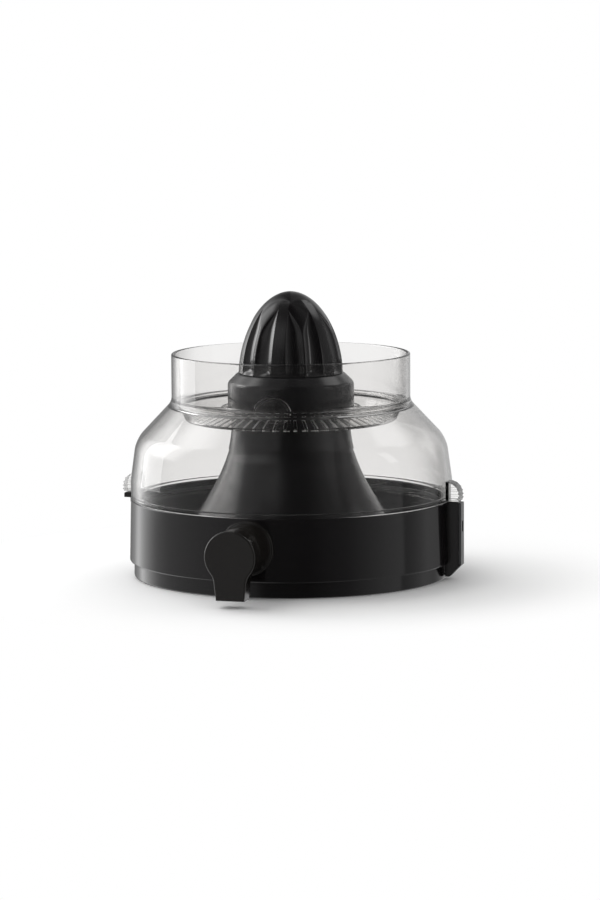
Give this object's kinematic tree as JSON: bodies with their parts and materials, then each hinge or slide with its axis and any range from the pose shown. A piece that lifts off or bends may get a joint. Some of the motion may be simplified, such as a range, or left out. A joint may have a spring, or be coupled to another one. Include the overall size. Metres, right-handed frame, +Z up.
{
  "type": "citrus press juicer",
  "caption": "Citrus press for a motor base: dark juice bowl with drip-stop spout, central drive tower, clear dome lid with lift-out sieve and ribbed reamer cone.",
  "frame": {"origin": "axis of the register bore in the plane of the base ring's foot, which is the surface it stands on", "axes": "+Z up along the reamer's axis; the juice spout points to -Y; the interlock block is on +X and the catch hook on -X"},
  "size_m": [0.2264, 0.2488, 0.1835],
  "materials": {
    "gloss_black": "polished black moulded plastic",
    "charcoal": "satin to gloss charcoal moulded plastic",
    "warm_black": "semi-gloss black moulded plastic",
    "clear_plastic": "clear polished moulded plastic",
    "grey_plastic": "satin grey moulded plastic",
    "gear_plastic": "natural acetal, as moulded",
    "seal_rubber": "soft grey rubber",
    "steel": "ground and turned steel",
    "bronze": "sintered bronze"
  },
  "bodies": {
    "base": {"juice_bowl": "gloss_black", "base_ring": "gloss_black", "ring_screws": "steel", "drive_tower": "charcoal", "tower_gasket": "seal_rubber", "tower_screws": "steel", "ring_gear": "gear_plastic", "gearbox_cover": "gear_plastic", "cover_screws": "steel", "lower_bush": "bronze", "upper_bush": "bronze", "thrust_washer": "bronze", "shaft_seal": "seal_rubber", "spout_body": "warm_black", "interlock_cover": "grey_plastic"},
    "output": {"planet_carrier": "gear_plastic", "carrier_plate": "gear_plastic", "carrier_screws": "steel", "planet_pins": "steel", "output_shaft": "steel", "shaft_circlip": "steel"},
    "input": {"input_shaft": "steel", "sun_gear": "steel", "input_coupling": "warm_black", "coupling_pin": "steel"},
    "planet_1": {"planet_gear_1": "gear_plastic"},
    "planet_2": {"planet_gear_2": "gear_plastic"},
    "planet_3": {"planet_gear_3": "gear_plastic"},
    "reamer": {"reamer_cone": "gloss_black", "cone_collar": "charcoal", "cone_hub": "gear_plastic"},
    "lid": {"dome_lid": "clear_plastic", "lid_lugs": "clear_plastic", "lid_seal": "seal_rubber"},
    "sieve": {"sieve": "clear_plastic"},
    "spout": {"drip_spout": "warm_black", "valve_barrel": "warm_black", "barrel_o_ring": "seal_rubber", "barrel_clip": "steel"},
    "interlock": {"interlock_rod": "gear_plastic", "interlock_spring": "steel"}
  },
  "joints": [
    {"name": "output_spin", "type": "hinge", "parent": "base", "child": "output", "pos_m": [0, 0, 0.11], "axis": [0, 0, 1], "continuous": true},
    {"name": "input_spin", "type": "hinge", "parent": "base", "child": "input", "pos_m": [0, 0, 0.04], "axis": [0, 0, 1], "continuous": true},
    {"name": "planet_1_spin", "type": "hinge", "parent": "output", "child": "planet_1", "pos_m": [0.018, 0, 0.09], "axis": [0, 0, 1], "continuous": true},
    {"name": "planet_2_spin", "type": "hinge", "parent": "output", "child": "planet_2", "pos_m": [-0.009, 0.01559, 0.09], "axis": [0, 0, 1], "continuous": true},
    {"name": "planet_3_spin", "type": "hinge", "parent": "output", "child": "planet_3", "pos_m": [-0.009, -0.01559, 0.09], "axis": [0, 0, 1], "continuous": true},
    {"name": "cone_lift", "type": "slide", "parent": "output", "child": "reamer", "axis": [0, 0, 1], "range_m": [0, 0.06]},
    {"name": "lid_lift", "type": "slide", "parent": "base", "child": "lid", "axis": [0, 0, 1], "range_m": [0, 0.15]},
    {"name": "sieve_lift", "type": "slide", "parent": "lid", "child": "sieve", "axis": [0, 0, 1], "range_m": [0, 0.06]},
    {"name": "spout_turn", "type": "hinge", "parent": "base", "child": "spout", "pos_m": [0, -0.12, 0.0316], "axis": [0, -1, 0], "range_deg": [0, 180]},
    {"name": "interlock_press", "type": "slide", "parent": "base", "child": "interlock", "axis": [0, 0, -1], "range_m": [0, 0.004], "stiffness_N_per_m": 300, "springref_m": -0.002, "deforming": ["interlock_spring"]}
  ],
  "couplings": [
    {"joint": "input_spin", "follows": "output_spin", "ratio": 6},
    {"joint": "planet_1_spin", "follows": "output_spin", "ratio": -2.5},
    {"joint": "planet_2_spin", "follows": "output_spin", "ratio": -2.5},
    {"joint": "planet_3_spin", "follows": "output_spin", "ratio": -2.5}
  ]
}
